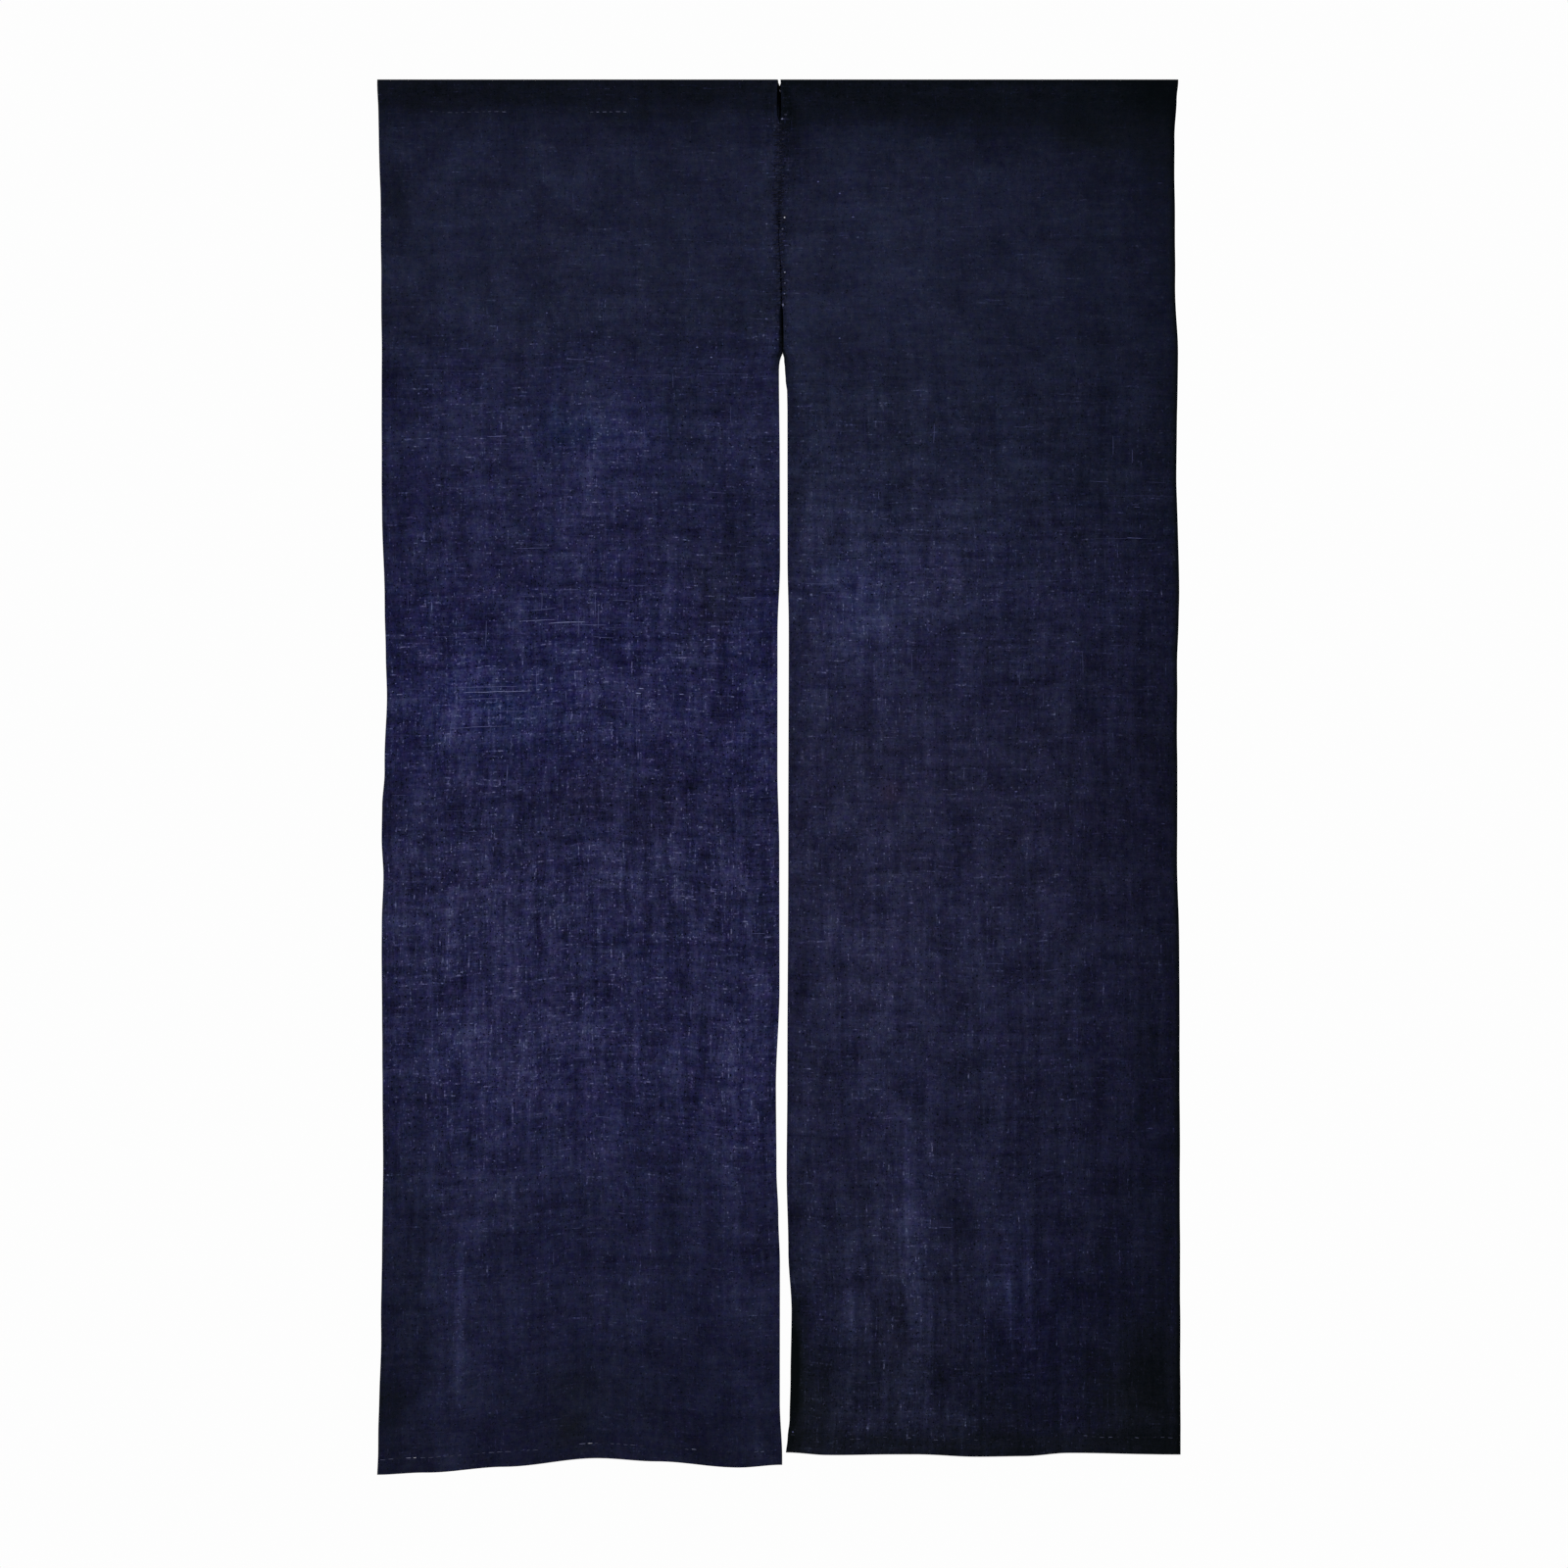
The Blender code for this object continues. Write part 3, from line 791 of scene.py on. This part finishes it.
def sewn_piece(name, runs, material):
    """Runs of thread as one piece, each from one point to the next and thin at its ends."""
    whole = bmesh.new()
    for first in range(0, len(runs), 24):
        bm = bmesh.new()
        pale_layer = bm.verts.layers.float.new("pale")
        for run in runs[first : first + 24]:
            reach = run.finish - run.start
            sized = Matrix.Diagonal((reach.length / 2, run.radius, run.radius, 1.0))
            turned = reach.to_track_quat("X", "Z").to_matrix().to_4x4()
            place = Matrix.Translation((run.start + run.finish) / 2) @ turned @ sized
            pole = Matrix.Rotation(math.pi / 2, 4, "Y")
            made = bmesh.ops.create_uvsphere(bm, u_segments=6, v_segments=5, radius=1.0, matrix=place @ pole)
            for vertex in made["verts"]:
                vertex[pale_layer] = run.paleness
        some = bpy.data.meshes.new(name)
        bm.to_mesh(some)
        bm.free()
        whole.from_mesh(some)
        bpy.data.meshes.remove(some)
    mesh = bpy.data.meshes.new(name)
    whole.to_mesh(mesh)
    whole.free()
    mesh.shade_smooth()
    mesh.materials.append(material)
    piece = bpy.data.objects.new(name, mesh)
    bpy.context.scene.collection.objects.link(piece)
    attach(piece, "root")
    return piece


def on_cloth(length, x, y, drop):
    """A point at this depth, where the cloth's own folds take it."""
    outer = along(length.outer, drop)
    return hang(length, (x - outer) / (slit_edge(length, drop, y) - outer), y, -drop)


def on_front(length, x, drop, proud):
    return on_cloth(length, x, -cloth_thickness / 2 - proud, drop)


def on_back(length, x, drop, proud):
    return on_cloth(length, x, 2 * layer_step + cloth_thickness / 2 + proud, drop)


def running_stitches(name, length, drop, from_x, to_x, stitch, pales, seed, material):
    """A row of running stitches, seen in turn on the front and on the back."""
    hand = random.Random(seed)
    runs = []
    x = from_x
    front = True
    while x < to_x:
        if front:
            reach = hand.uniform(stitch.shortest, stitch.longest)
        else:
            reach = stitch.under * hand.uniform(0.7, 1.3)
        height = drop + stitch.wander * noise.noise(Vector((x / 0.03, seed, 0.0))) + hand.uniform(-2e-4, 2e-4)
        paleness = max([row.paleness for row in pales if row.from_x <= x <= row.to_x] or [stitch.rubbed])
        paleness *= hand.uniform(0.55, 1.15)
        lay = on_front if front else on_back
        start = lay(length, x, height, 0.00006)
        finish = lay(length, min(x + reach, to_x + 0.001), height + hand.uniform(-3e-4, 3e-4), 0.00006)
        runs.append(Run(start, finish, stitch.radius, paleness))
        x += reach + 0.0004
        front = not front
    return sewn_piece(name, runs, material)


thread = thread_colour("sewing_thread", (8, 9, 17), (120, 124, 158), (198, 198, 208))
pocket_stitch = Stitch(0.0030, 0.0056, 0.0022, 0.00036, 0.10, 0.0010)
hem_stitch = Stitch(0.0036, 0.0078, 0.0016, 0.00030, 0.14, 0.0014)
pocket_stitches_left = running_stitches(
    "pocket_stitches_left", left_length, 0.0345, -0.424, -0.006, pocket_stitch,
    rows_of(
        Pale,
        (-0.374, -0.354, 0.40), (-0.354, -0.314, 0.62), (-0.314, -0.292, 0.88), (-0.250, -0.235, 0.30),
        (-0.206, -0.184, 0.80), (-0.184, -0.162, 0.55),
    ),
    11, thread,
)
pocket_stitches_right = running_stitches(
    "pocket_stitches_right", right_length, 0.0485, 0.006, 0.416, pocket_stitch._replace(rubbed=0.03),
    (Pale(0.030, 0.040, 0.20),),
    23, thread,
)
hem_stitches_left = running_stitches(
    "hem_stitches_left", left_length, cloth_drop - left_length.hem_height + 0.0012,
    -0.425, -0.003, hem_stitch,
    rows_of(
        Pale,
        (-0.425, -0.409, 0.60), (-0.399, -0.385, 0.95), (-0.385, -0.338, 0.50), (-0.327, -0.306, 0.60),
        (-0.303, -0.286, 0.95), (-0.286, -0.258, 0.45), (-0.220, -0.201, 0.90), (-0.200, -0.150, 0.55),
        (-0.128, -0.115, 0.45), (-0.104, -0.087, 0.75), (-0.062, -0.050, 0.30), (-0.031, -0.020, 0.85),
        (-0.016, -0.004, 0.45),
    ),
    37, thread,
)
hem_stitches_right = running_stitches(
    "hem_stitches_right", right_length, cloth_drop - right_length.hem_height + 0.0012, 0.012, 0.422,
    hem_stitch._replace(longest=0.0056, under=0.0034, wander=0.0028),
    rows_of(
        Pale,
        (0.012, 0.020, 0.60), (0.055, 0.060, 0.50), (0.068, 0.083, 0.80), (0.100, 0.114, 0.45),
        (0.134, 0.143, 0.70), (0.155, 0.183, 0.65), (0.196, 0.213, 0.45), (0.234, 0.245, 0.30),
        (0.314, 0.323, 0.50), (0.327, 0.354, 0.65), (0.368, 0.385, 0.70), (0.394, 0.421, 0.45),
    ),
    41, thread,
)


# The seam down the upper middle.
# The two edges meet and are overcast by hand, a slanting stitch every few millimetres, rubbed
# as dark as the cloth but for a few beads of thread, with a knot at either end.
Knot = namedtuple("Knot", "x drop wide radius paleness")
knots = rows_of(
    Knot,
    (-0.0010, 0.0052, 0.0016, 0.00075, 0.95), (0.0004, 0.0120, 0.0014, 0.00150, 0.90),
    (0.0028, 0.0420, 0.0022, 0.00095, 0.85), (0.0066, 0.0372, 0.0048, 0.00130, 0.34),
    (0.0030, 0.1467, 0.0020, 0.00085, 1.00), (0.0028, 0.1590, 0.0022, 0.00100, 0.55),
    (0.0056, 0.2050, 0.0020, 0.00085, 0.88), (0.0055, 0.2165, 0.0022, 0.00110, 0.50),
    (0.0050, 0.2278, 0.0018, 0.00085, 0.70), (0.0036, 0.2398, 0.0020, 0.00180, 0.74),
)


def beside_groove(length, drop, reach):
    """A point on the cloth's face this far out from the seam, past the edge that is turned back."""
    side = -1.0 if length.outer[0].x < 0 else 1.0
    flat_reach = reach
    while seam_turn(drop) > 0.5 and flat_reach < 0.018 and turned_edge(flat_reach, drop)[0] < reach:
        flat_reach += 0.0002
    return on_front(length, slit_edge(length, drop, 0.0) + side * flat_reach, drop, 0.0001)


def laid_thread(points, radius, paleness):
    """A thread through these points, in runs that overlap."""
    runs = []
    for start, finish in zip(points, points[1:]):
        longer = (finish - start) * 0.25
        runs.append(Run(start - longer, finish + longer, radius, paleness))
    return runs


def overcast_seam(name, seed):
    hand = random.Random(seed)
    runs = []
    drop = 0.0475
    while drop < sewn_until:
        close = drop < 0.15
        slant = hand.uniform(-0.0006, 0.0020)
        left_reach, right_reach = hand.uniform(0.0030, 0.0066), hand.uniform(0.0030, 0.0066)
        points = [
            beside_groove(left_length, drop + slant, left_reach),
            beside_groove(left_length, drop + slant / 2, max(0.0020, left_reach / 2)),
            beside_groove(right_length, drop - slant / 2, max(0.0020, right_reach / 2)),
            beside_groove(right_length, drop - slant, right_reach),
        ]
        points.insert(2, (points[1] + points[2]) / 2)
        for run in laid_thread(points, hand.uniform(0.00042, 0.00060), 0.0):
            runs.append(run._replace(paleness=hand.choice((0.0, 0.0, 0.05, 0.22, 0.30))))
        drop += hand.uniform(0.0022, 0.0036) if close else hand.uniform(0.0032, 0.0056)
    for x, drop, wide, radius, paleness in knots:
        knot = beside_groove(right_length, drop, x - slit_edge(right_length, drop, 0.0))
        half = Vector((wide / 2, 0.0, 0.0))
        runs.append(Run(knot - half, knot + half, radius, paleness))
    return sewn_piece(name, runs, thread)


seam_stitches = overcast_seam("seam_stitches", 53)


# The slubs and knots of the yarn.
# Hand-spun yarn has thick soft runs and small knots that stand proud of the cloth and took
# less dye. The largest are where the real cloth shows them, the rest lie along both yarns.
Slub = namedtuple("Slub", "x drop run radius along_weft paleness")
Zone = namedtuple("Zone", "top bottom share longest palest weft_share")


def slub_run(length, slub):
    pieces = max(1, round(slub.run / 0.007))
    points = []
    for step in range(pieces + 1):
        share = step / pieces - 0.5
        sway = 0.0012 * noise.noise(Vector((slub.x * 90, slub.drop * 90, share * slub.run / 0.02)))
        x = slub.x + (share * slub.run if slub.along_weft else sway)
        drop = slub.drop + (sway if slub.along_weft else share * slub.run)
        points.append(on_front(length, x, drop, -0.00008))
    runs = []
    for step, (start, finish) in enumerate(zip(points, points[1:])):
        longer = (finish - start) * 0.3 if pieces > 1 else Vector()
        thinner = 1.0 - 0.45 * abs(2 * (step + 0.5) / pieces - 1) if pieces > 1 else 1.0
        runs.append(Run(start - longer, finish + longer, slub.radius * thinner, slub.paleness))
    return runs


def slubs_on(name, length, shown_slubs, count, zones, seed, material):
    """The named slubs, and this many smaller ones in clusters over the zones down the cloth."""
    hand = random.Random(seed)
    runs = []
    for slub in shown_slubs:
        runs += slub_run(length, slub)
    made = 0
    while made < count:
        zone = hand.choices(zones, weights=[zone.share for zone in zones])[0]
        drop = hand.uniform(zone.top, zone.bottom)
        left, right = sorted((along(length.outer, drop), slit_edge(length, drop, 0.0)))
        x = hand.uniform(left + 0.012, right - 0.014)
        if noise.noise(Vector((x / 0.05, drop / 0.05, seed))) < hand.uniform(-0.5, 0.35):
            continue
        along_weft = hand.random() < zone.weft_share
        run = hand.uniform(0.0016, 0.005) if hand.random() < 0.6 else hand.uniform(0.005, zone.longest)
        radius = hand.uniform(0.00024, 0.00044)
        paleness = zone.palest * hand.uniform(0.3, 1.0)
        runs += slub_run(length, Slub(x, drop, run, radius, along_weft, paleness))
        made += 1
    return sewn_piece(name, runs, material)


yarn = thread_colour("slubby_yarn", (22, 24, 48), (96, 100, 148), (128, 132, 172))
slubs_left = slubs_on(
    "slubs_left",
    left_length,
    rows_of(
        Slub,
        (-0.281, 0.5695, 0.030, 0.00032, True, 0.45), (-0.256, 0.572, 0.034, 0.00040, True, 0.90),
        (-0.226, 0.575, 0.036, 0.00046, True, 1.00), (-0.200, 0.5785, 0.030, 0.00038, True, 0.75),
        (-0.174, 0.5815, 0.030, 0.00030, True, 0.45), (-0.100, 0.6505, 0.104, 0.00028, True, 0.38),
        (-0.150, 0.6500, 0.0060, 0.00062, True, 1.15), (-0.147, 0.6450, 0.0050, 0.00055, True, 1.00),
        (-0.128, 0.6510, 0.0030, 0.00055, True, 0.90), (-0.104, 0.6500, 0.0050, 0.00050, True, 0.95),
        (-0.078, 0.6510, 0.0030, 0.00055, True, 0.90), (-0.050, 0.6505, 0.0040, 0.00055, True, 0.90),
        (-0.300, 0.377, 0.018, 0.00040, True, 0.80), (-0.270, 0.378, 0.012, 0.00040, True, 0.70),
        (-0.331, 0.412, 0.010, 0.00040, True, 0.70), (-0.347, 0.407, 0.004, 0.00070, True, 0.60),
        (-0.295, 0.366, 0.009, 0.00040, False, 0.80), (-0.225, 0.435, 0.012, 0.00040, True, 0.60),
        (-0.089, 0.283, 0.0022, 0.00085, True, 0.80), (-0.073, 0.2945, 0.0022, 0.00085, True, 0.90),
        (-0.175, 0.289, 0.0026, 0.00075, True, 0.70), (-0.199, 0.268, 0.0022, 0.00075, True, 0.75),
        (-0.247, 0.2475, 0.0020, 0.00075, True, 0.75), (-0.299, 0.263, 0.0045, 0.00050, False, 0.65),
        (-0.025, 0.2535, 0.018, 0.00036, True, 0.38), (-0.0175, 0.2535, 0.0030, 0.00070, True, 0.75),
        (-0.315, 0.311, 0.0022, 0.00085, True, 0.80), (-0.362, 0.307, 0.050, 0.00034, True, 0.40),
        (-0.150, 0.314, 0.060, 0.00034, True, 0.40), (-0.060, 0.312, 0.050, 0.00036, True, 0.45),
        (-0.160, 0.665, 0.022, 0.00036, True, 0.60), (-0.310, 0.6400, 0.060, 0.00036, True, 0.80),
        (-0.300, 0.6455, 0.070, 0.00042, True, 0.95), (-0.318, 0.6530, 0.040, 0.00038, True, 0.80),
        (-0.318, 0.6820, 0.060, 0.00038, True, 0.80), (-0.285, 0.6660, 0.050, 0.00032, True, 0.65),
        (-0.262, 0.4955, 0.034, 0.00036, True, 0.70),
    ),
    520,
    rows_of(
        Zone,
        (0.06, 0.29, 0.30, 0.006, 0.40, 0.65), (0.29, 0.52, 1.10, 0.020, 0.70, 0.72),
        (0.52, 0.75, 1.50, 0.026, 0.76, 0.66), (0.75, 1.12, 2.00, 0.018, 0.74, 0.50),
        (1.12, 1.30, 0.60, 0.014, 0.55, 0.50), (1.30, 1.43, 0.25, 0.010, 0.45, 0.50),
    ),
    61,
    yarn,
)
slubs_right = slubs_on(
    "slubs_right",
    right_length,
    rows_of(
        Slub,
        (0.0115, 0.2580, 0.010, 0.00034, True, 0.30), (0.041, 0.109, 0.0022, 0.00090, True, 0.80),
        (0.064, 0.121, 0.0025, 0.00090, True, 0.75), (0.080, 0.146, 0.0030, 0.00090, True, 0.65),
        (0.066, 0.2745, 0.0022, 0.00080, True, 0.80), (0.365, 0.488, 0.066, 0.00032, True, 0.34),
        (0.377, 0.4875, 0.013, 0.00050, True, 0.62), (0.381, 0.443, 0.076, 0.00030, True, 0.30),
        (0.197, 0.477, 0.006, 0.00055, True, 0.65), (0.176, 0.475, 0.003, 0.00060, False, 0.55),
        (0.044, 0.536, 0.032, 0.00036, True, 0.62), (0.052, 0.545, 0.012, 0.00040, True, 0.60),
        (0.276, 0.533, 0.050, 0.00032, True, 0.40), (0.080, 0.624, 0.050, 0.00034, True, 0.45),
        (0.141, 0.620, 0.016, 0.00036, False, 0.55), (0.322, 0.621, 0.020, 0.00034, False, 0.50),
        (0.251, 0.757, 0.0030, 0.00070, True, 0.75), (0.300, 1.086, 0.0024, 0.00080, True, 0.80),
        (0.176, 1.220, 0.012, 0.00042, True, 0.60), (0.0142, 1.4400, 0.0022, 0.00080, True, 0.75),
    ),
    330,
    rows_of(
        Zone,
        (0.07, 0.35, 0.35, 0.006, 0.40, 0.65), (0.35, 0.52, 0.90, 0.020, 0.60, 0.65),
        (0.52, 1.10, 2.00, 0.016, 0.50, 0.45), (1.10, 1.43, 0.50, 0.012, 0.35, 0.20),
    ),
    67,
    yarn,
)


# The floor, the light and the camera.
# A plain pale floor under the curtain, a white room with soft lights from the front left, the
# front right and behind, and a long lens square to the cloth.
floor_mesh = bmesh.new()
bmesh.ops.create_circle(floor_mesh, cap_ends=True, segments=96, radius=3.2)
bmesh.ops.translate(floor_mesh, verts=floor_mesh.verts[:], vec=(0.0, 0.0, -1.95))
floor_data = bpy.data.meshes.new("floor")
floor_mesh.to_mesh(floor_data)
floor_mesh.free()
floor = bpy.data.objects.new("floor", floor_data)
bpy.context.scene.collection.objects.link(floor)
pale_floor = bpy.data.materials.new("pale_floor")
pale_floor.use_nodes = True
pale_floor.node_tree.nodes["Principled BSDF"].inputs["Base Color"].default_value = (0.78, 0.77, 0.75, 1.0)
pale_floor.node_tree.nodes["Principled BSDF"].inputs["Roughness"].default_value = 0.7
floor_data.materials.append(pale_floor)

world = bpy.data.worlds.new("white_room")
bpy.context.scene.world = world
world.use_nodes = True
room = world.node_tree
background = room.nodes["Background"]
background.inputs["Color"].default_value = (0.984, 0.984, 0.984, 1.0)
path = room.nodes.new("ShaderNodeLightPath")
brightness = room.nodes.new("ShaderNodeMapRange")
brightness.inputs["To Min"].default_value = 0.55
brightness.inputs["To Max"].default_value = 1.0
room.links.new(path.outputs["Is Camera Ray"], brightness.inputs["Value"])
room.links.new(brightness.outputs["Result"], background.inputs["Strength"])


def soft_light(name, place, size, power):
    lamp = bpy.data.lights.new(name, "AREA")
    lamp.shape = "DISK"
    lamp.size = size
    lamp.energy = power
    holder = bpy.data.objects.new(name, lamp)
    holder.location = place
    holder.rotation_euler = (Vector((0.0, 0.0, -0.75)) - Vector(place)).to_track_quat("-Z", "Y").to_euler()
    bpy.context.scene.collection.objects.link(holder)


soft_light("key_light", (-4.2, -3.6, 1.2), 1.6, 130.0)
soft_light("fill_light", (3.5, -5.0, 0.2), 2.6, 60.0)
soft_light("back_light", (1.5, 5.0, 0.6), 2.6, 90.0)

lens = bpy.data.cameras.new("camera")
camera = bpy.data.objects.new("camera", lens)
bpy.context.scene.collection.objects.link(camera)
camera.location = (0.0047, -10.0, -0.748)
camera.rotation_euler = (math.pi / 2, 0.0, 0.0)
lens.sensor_fit = "HORIZONTAL"
lens.sensor_width = 36.0
lens.lens = 36.0 * 10.0 / 1.6646
bpy.context.scene.camera = camera
bpy.context.scene.view_settings.view_transform = "Standard"
